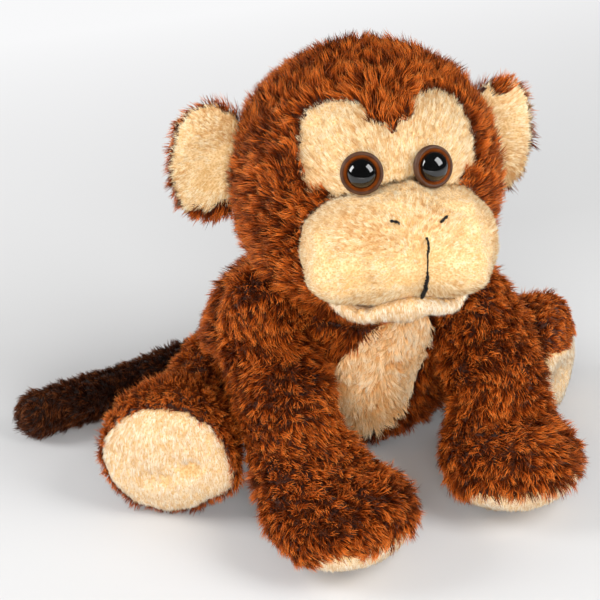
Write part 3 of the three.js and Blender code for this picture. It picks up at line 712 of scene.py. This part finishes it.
def twistedThread(name, node, moved, shown, weight):
    path, at = resampled(middleLine(node) + np.array(moved) * mm)
    share = at / at[-1]
    out = np.array([skins["muzzleSkin"]["tree"].find_nearest(Vector(p))[1] for p in path])
    sunk = np.interp(share, *zip(*shown))  # 0 shows, 1 is under the pile
    path = path + out * ((stitchWork["proud"] - stitchWork["deep"] * sunk) * mm)[:, None]
    showing.extend(path[sunk < stitchWork["shows"]])
    ways = unit(np.gradient(path, axis=0))
    across = unit(np.cross(ways, askew))
    other = np.cross(ways, across)
    ends = np.clip(np.minimum(at, at[-1] - at) / (stitchWork["taper"] * mm), stitchWork["point"], 1)
    girth = np.interp(share, *zip(*weight)) * np.sqrt(ends)
    sides = stitchWork["sides"]
    turns = np.linspace(0, 2 * math.pi, sides, endpoint=False)
    shape = bmesh.new()
    for ply in (0, math.pi):
        turn = at / (stitchWork["twist"] * mm) * 2 * math.pi + ply
        aside = np.cos(turn)[:, None] * across + np.sin(turn)[:, None] * other
        middle = path + aside * (stitchWork["apart"] * mm * girth)[:, None]
        rings = []
        for k in range(len(path)):
            spokes = [math.cos(t) * across[k] + math.sin(t) * other[k] for t in turns]
            thick = stitchWork["ply"] * mm * girth[k]
            rings.append([shape.verts.new(middle[k] + spoke * thick) for spoke in spokes])
        for lower, upper in zip(rings, rings[1:]):
            for k in range(sides):
                n = (k + 1) % sides
                shape.faces.new([lower[k], lower[n], upper[n], upper[k]]).smooth = True
        shape.faces.new(rings[0][::-1])
        shape.faces.new(rings[-1])
    bmesh.ops.recalc_face_normals(shape, faces=shape.faces)
    mesh = bpy.data.meshes.new(name)
    shape.to_mesh(mesh)
    shape.free()
    mesh.materials.append(finishes["thread"])
    piece = addObject(name, mesh)
    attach(piece, "head")
    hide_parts(node)


stitchPlan = {  # solid, mm moved along the cloth, how deep the thread runs along its length, its weight there
    "mouthStitch": (
        "mouth_stitch", (0, 0, 0),
        [(0, 1.0), (0.09, 0.6), (0.13, 0.0), (0.25, 0.05), (0.33, 0.3), (0.5, 0.3), (0.58, 0.0), (1, 0.0)],
        [(0, 0.7), (0.28, 0.6), (0.35, 0.4), (0.5, 0.4), (0.62, 1.0), (1, 1.1)]),
    "leftNostril": (
        "nostril_stitch_left", (2.1, 0.4, -0.9),
        [(0, 0.0), (0.5, 0.0), (0.65, 1.0), (1, 1.0)], [(0, 0.8), (1, 0.7)]),
    "rightNostril": (
        "nostril_stitch_right", (0, 0, 0),
        [(0, 0.0), (0.28, 0.0), (0.4, 1.0), (1, 1.0)], [(0, 0.8), (1, 0.6)]),
}
for name, plan in stitchPlan.items():
    twistedThread(name, *plan)
stitchFinder = KDTree(len(showing))
for k, place in enumerate(showing):
    stitchFinder.insert(Vector(place), k)
stitchFinder.balance()
print("stitches done")

obstacles = []  # the pile keeps clear of the eyes
for name in ("eye_ring_left", "eye_ring_right"):
    low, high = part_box(name)
    obstacles.append((solidTree(name), np.array(low), np.array(high)))

# Torso: long brown pile combed down from the neck, and the cream belly let into it
torso = {"fill": 0.7, "cloths": ["torso_cover", "belly_patch"],
         "coat": {"seed": 21, "long": 7.5}, "nap": away(0, -46, 95), "bellyNap": along(-0.35, 0, -1)}
# the belly pile wears the brightened fibre, painted light against the shade under the head
belly = {**overCoat, "seed": 22, "perSquareMm": 3.4, "long": 6.5, "girth": 0.16, "lift": 0.4, "soft": 0.6,
         "finish": "bellyPilePaintedLight", "slot": "belly_pile"}
clothPiece("torsoCover", "torsoSkin", brownCloth, torso["cloths"], backings["brown"])
clothPiece("bellyPatch", "torsoSkin", creamCloth, torso["cloths"], backings["belly"])
growCoat("torsoPile", "torsoSkin", brownCloth, torso["cloths"], torso["coat"], torso["nap"])
growPile("bellyPilePaintedLight", "torsoSkin", creamCloth, torso["cloths"], belly, torso["bellyNap"])

# Neck: short brown pile between head and body
neck = {"fill": 0.8, "pile": {**underCoat, "seed": 25, "long": 5.0}, "nap": along(0, 0, -1)}
clothPiece("neckCover", "neckSkin", onlyCloth, ["neck"], backings["brown"])
growPile("neckPile", "neckSkin", onlyCloth, ["neck"], neck["pile"], neck["nap"])

# Head: pile combed away from the face, round the cream eye patch
head = {"fill": 0.85, "cloths": ["head_cover", "eye_patch"],
        "coat": {"seed": 31, "long": 8.6, "lift": 0.48, "edge": 0.45}, "nap": away(-9, -95, 104),
        "patch": {**velvet, "seed": 32}, "patchNap": away(-8, -95, 122)}
clothPiece("headCover", "headSkin", brownCloth, head["cloths"], backings["brown"])
clothPiece("eyePatch", "headSkin", creamCloth, head["cloths"], backings["cream"])
growCoat("headPile", "headSkin", brownCloth, head["cloths"], head["coat"], head["nap"])
growPile("eyePatchPile", "headSkin", creamCloth, head["cloths"], head["patch"], head["patchNap"])

# Muzzle and lower lip: short cream pile that runs out from the nose
muzzle = {"fill": 0.8, "pile": {**velvet, "seed": 41, "long": 3.0}, "nap": away(-10, -112, 120)}
lip = {"fill": 0.6, "nap": along(0, -0.3, -1),
       "pile": {**velvet, "seed": 42, "long": 3.2, "finish": "palePile", "slot": "pale_pile"}}
clothPiece("muzzleCover", "muzzleSkin", onlyCloth, ["muzzle_cover"], backings["cream"])
growPile("muzzlePile", "muzzleSkin", onlyCloth, ["muzzle_cover"], muzzle["pile"], muzzle["nap"])
clothPiece("lowerLip", "lipSkin", onlyCloth, ["lower_lip"], backings["lip"])
growPile("lipPile", "lipSkin", onlyCloth, ["lower_lip"], lip["pile"], lip["nap"])

# Ears: cream fronts, and brown backs whose pile makes the fringe
ear = {"fill": 0.3, "fringe": {"seed": 51, "long": 12.0, "lift": 0.3, "edge": 0.35}, "fringeReach": 34,
       "front": {**velvet, "seed": 52}}
for side, root in earRoots.items():
    cloths = ["ear_back_" + side, "ear_front_" + side]
    skinName = side + "EarSkin"
    clothPiece(side + "EarBack", skinName, brownCloth, cloths, backings["earBack"])
    clothPiece(side + "EarFront", skinName, creamCloth, cloths, backings["earFront"])
    fringe = {**ear["fringe"], "shorter": (root, ear["fringeReach"])}
    growCoat(side + "EarPile", skinName, brownCloth, cloths, fringe, away(*root))
    growPile(side + "EarFrontPile", skinName, creamCloth, cloths, ear["front"], away(*root))

# Arms and legs: pile combed towards the paws, with cream palms and soles
limbPlan = {  # brown solid, cream solid, way that the nap runs
    "leftArm": ("arm_left", "palm_left", (-7, -70, -42)),
    "rightArm": ("arm_right", "palm_right", (-1, -84, -42)),
    "leftLeg": ("leg_left", "sole_left", (53, -48, 6)),
    "rightLeg": ("leg_right", "sole_right", (-49, -57, 6)),
}
limb = {"fill": 0.75, "firstSeed": 61, "padSeed": 10, "padNap": along(0, -0.2, -1),
        "coat": {"long": 7.5, "trim": 0.5, "edge": 0.2},
        "pad": {**velvet, "long": 3.4, "finish": "palePile"}}
for seed, (name, (brown, cream, way)) in enumerate(limbPlan.items(), limb["firstSeed"]):
    cloths = [brown, cream]
    skinName = name + "Skin"
    clothPiece(name + "Cover", skinName, brownCloth, cloths, backings["brown"])
    clothPiece(name + "Pad", skinName, creamCloth, cloths, backings["cream"])
    growCoat(name + "Pile", skinName, brownCloth, cloths, {**limb["coat"], "seed": seed}, along(*way))
    pad = {**limb["pad"], "seed": seed + limb["padSeed"]}
    growPile(name + "PadPile", skinName, creamCloth, cloths, pad, limb["padNap"])

# Tail: short dark pile combed to the tip
tail = {"fill": 0.8, "nap": along(-112, -27, -6),
        "coat": {"seed": 81, "long": 5.5, "finish": "darkPile", "slot": "tail_pile"}}
clothPiece("tailCover", "tailSkin", onlyCloth, ["tail"], backings["tail"])
growCoat("tailPile", "tailSkin", onlyCloth, ["tail"], tail["coat"], tail["nap"])
print("strands in all:", sum(tally))

for skin in skins.values():
    bpy.data.objects.remove(skin["piece"])

# Stuffing and pellet bag, inside the covers
innerPlan = {  # solid, voxel mm, inset mm, finish, slot
    "torsoStuffing": ("torso_stuffing", 3, 2.5, "fibre", "white_fibre"),
    "headStuffing": ("head_stuffing", 3, 2.5, "fibre", "white_fibre"),
    "muzzleStuffing": ("muzzle_stuffing", 2, 1.6, "fibre", "white_fibre"),
    "pelletBag": ("seat_pellet_bag", 2, 1.2, "bag", "bag_cloth"),
}
inner = {"rounds": 6, "fill": 0.6}
for name, (node, voxel, inset, finish, slotName) in innerPlan.items():
    piece = softSkin(name, None, [node], voxel, inner["rounds"], inset)["piece"]
    dress(piece, finish)
    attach(piece, nodes[node]["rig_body"])
    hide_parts(node)
print("stuffing done")


# Eyes: a satin brown rim, an amber slope inside it, and a polished black pupil. Profiles are radius and height, mm

eye = {
    "rim": [(0, -9.5), (2.2, -9.5), (2.2, -0.1), (7.65, -0.1), (8.0, 0.15), (8.2, 0.6), (8.2, 1.4), (8.05, 2.1),
            (7.75, 2.5), (7.3, 2.65), (7.0, 2.55), (6.8, 2.35), (6.15, 1.8), (6.0, 1.55), (0, 1.55)],
    "rimFinish": [0] * 11 + [1] * 3,  # the last three bands are the amber slope
    "dome": [(0, 1.6), (5.7, 1.6), (5.8, 1.8)] + [
        (5.8 * math.cos(t), 1.8 + 4.4 * math.sin(t)) for t in np.linspace(0.06, 1.5, 14)] + [(0, 6.2)],
    "washer": [(2.5, -6.4), (5.2, -6.4), (5.4, -6.2), (5.4, -5.4), (5.2, -5.2), (2.5, -5.2), (2.5, -6.4)],
    "rimTop": 2.8, "steps": 56, "washerSteps": 40, "sameSpot": 0.001,
}


def turnedPiece(name, node, looks, profile, marks, seat, out, steps):
    spin = out.to_track_quat("Z", "Y").to_matrix()
    turns = [2 * math.pi * k / steps for k in range(steps)]
    shape = bmesh.new()
    rings = []
    for radius, height in profile:
        spots = [(0, 0, height)]
        if radius:
            spots = [(radius * math.cos(t), radius * math.sin(t), height) for t in turns]
        rings.append([shape.verts.new(seat + spin @ Vector(spot) * mm) for spot in spots])
    for lower, upper, mark in zip(rings, rings[1:], marks):
        for k in range(steps):
            n = (k + 1) % steps
            corners = [lower[k % len(lower)], lower[n % len(lower)],
                       upper[n % len(upper)], upper[k % len(upper)]]
            face = shape.faces.new(list(dict.fromkeys(corners)))
            face.smooth = True
            face.material_index = mark
    bmesh.ops.remove_doubles(shape, verts=shape.verts, dist=eye["sameSpot"] * mm)
    bmesh.ops.recalc_face_normals(shape, faces=shape.faces)
    mesh = bpy.data.meshes.new(name)
    shape.to_mesh(mesh)
    shape.free()
    for look in looks:
        mesh.materials.append(finishes[look])
    piece = addObject(name, mesh)
    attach(piece, "head")
    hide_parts(node)


plain = [0] * len(eye["dome"])
for side in ("left", "right"):
    ring, dome, washer = (np.array([v.co for v in nodes[kind + side].data.vertices])
                          for kind in ("eye_ring_", "eye_dome_", "eye_washer_"))
    middle = (washer.min(0) + washer.max(0)) / 2
    out = Vector((dome.min(0) + dome.max(0)) / 2 - middle).normalized()
    rise = ((ring - middle) @ np.array(out)).max() - eye["rimTop"] * mm
    seat = Vector(middle) + out * rise
    turnedPiece(side + "EyeRing", "eye_ring_" + side, ["ring", "iris"],
                eye["rim"], eye["rimFinish"], seat, out, eye["steps"])
    turnedPiece(side + "EyeDome", "eye_dome_" + side, ["pupil"],
                eye["dome"], plain, seat, out, eye["steps"])
    turnedPiece(side + "EyeWasher", "eye_washer_" + side, ["washer"],
                eye["washer"], plain, seat, out, eye["washerSteps"])
print("eyes done")


# Stage: a pale sweep, three soft boxes and a dim even surround
stageSet = {
    "floor": 6.0, "surround": 0.3, "darkRoom": 0.04, "backdrop": 0.95,
    "sweep": (0.12, 0.5, 0.04, 0.95),  # m up the floor where it starts and ends to pale, and how pale there
    "far": (0.6, 1.3, 0.0, 0.95),  # the same on all sides, by the distance from the toy
    "tall": 1.3,
    "lamps": [  # way, distance m, size m, level on a facing surface, seen in gloss
        ("leftBox", (-0.83, 0.30, 0.49), 1.2, 0.5, 0.75, True),
        ("rightBox", (0.53, -0.54, 0.65), 1.2, 0.66, 0.82, True),
        ("frontFill", (-0.42, -0.87, 0.25), 1.6, 0.9, 1.1, False)],
}
bpy.ops.mesh.primitive_grid_add(x_subdivisions=8, y_subdivisions=8, size=stageSet["floor"])
floor = bpy.context.object
floor.name = "floor"
floorPaint, floorTree = newMaterial("paleSweepPaper")
dust = addNode(floorTree, "ShaderNodeTexNoise", {"Scale": 14.0, "Detail": 3.0})
paper = addNode(floorTree, "ShaderNodeValToRGB", {0: dust.outputs["Fac"]})
lit = addNode(floorTree, "ShaderNodeBsdfPrincipled", {
    "Base Color": setRamp(paper, [(0.3, "#cccccc"), (0.7, "#d2d2d2")]), "Roughness": 0.75})
glow = addNode(floorTree, "ShaderNodeEmission", {"Color": linear("#fbfbfc"), "Strength": 1.0})
where = addNode(floorTree, "ShaderNodeTexCoord", {}).outputs["Object"]
spot = addNode(floorTree, "ShaderNodeSeparateXYZ", {0: where})
apart = addNode(floorTree, "ShaderNodeVectorMath", {0: where}, operation="LENGTH")
upSweep = addNode(floorTree, "ShaderNodeMapRange", {
    0: spot.outputs["Y"], **dict(enumerate(stageSet["sweep"], 1))})
allRound = addNode(floorTree, "ShaderNodeMapRange", {
    0: apart.outputs["Value"], **dict(enumerate(stageSet["far"], 1))})
paler = addNode(floorTree, "ShaderNodeMath", {0: upSweep.outputs[0], 1: allRound.outputs[0]}, operation="MAXIMUM")
rays = addNode(floorTree, "ShaderNodeLightPath", {})
share = addNode(floorTree, "ShaderNodeMath", {0: rays.outputs["Is Camera Ray"], 1: paler.outputs[0]},
                operation="MULTIPLY")
closeMaterial(floorTree, addNode(floorTree, "ShaderNodeMixShader", {
    0: share.outputs[0], 1: lit.outputs[0], 2: glow.outputs[0]}))
floor.data.materials.append(floorPaint)
for name, way, reach, size, level, glossy in stageSet["lamps"]:
    lamp = bpy.data.lights.new(name, "AREA")
    lamp.shape = "RECTANGLE"
    lamp.size = size
    lamp.size_y = size * stageSet["tall"]
    lamp.energy = level * (math.pi * reach) ** 2  # level 1 shows a colour as written
    holder = bpy.data.objects.new(name, lamp)
    bpy.context.scene.collection.objects.link(holder)
    holder.location = aim + Vector(way).normalized() * reach
    holder.rotation_euler = (-Vector(way)).to_track_quat("-Z", "Y").to_euler()
    holder.visible_glossy = glossy
world = bpy.data.worlds.new("surround")
bpy.context.scene.world = world
world.use_nodes = True
sky = world.node_tree.nodes["Background"]
sky.inputs["Color"].default_value = (1, 1, 1, 1)
paths = addNode(world.node_tree, "ShaderNodeLightPath", {})
even = addNode(world.node_tree, "ShaderNodeMapRange", {  # a dark room behind the lamps, seen in gloss
    0: paths.outputs["Is Glossy Ray"], 3: stageSet["surround"], 4: stageSet["darkRoom"]})
behind = addNode(world.node_tree, "ShaderNodeMapRange", {  # the sweep goes on where the floor ends
    0: paths.outputs["Is Camera Ray"], 3: even.outputs[0], 4: stageSet["backdrop"]})
world.node_tree.links.new(behind.outputs[0], sky.inputs["Strength"])
bpy.context.scene.view_settings.view_transform = "Standard"
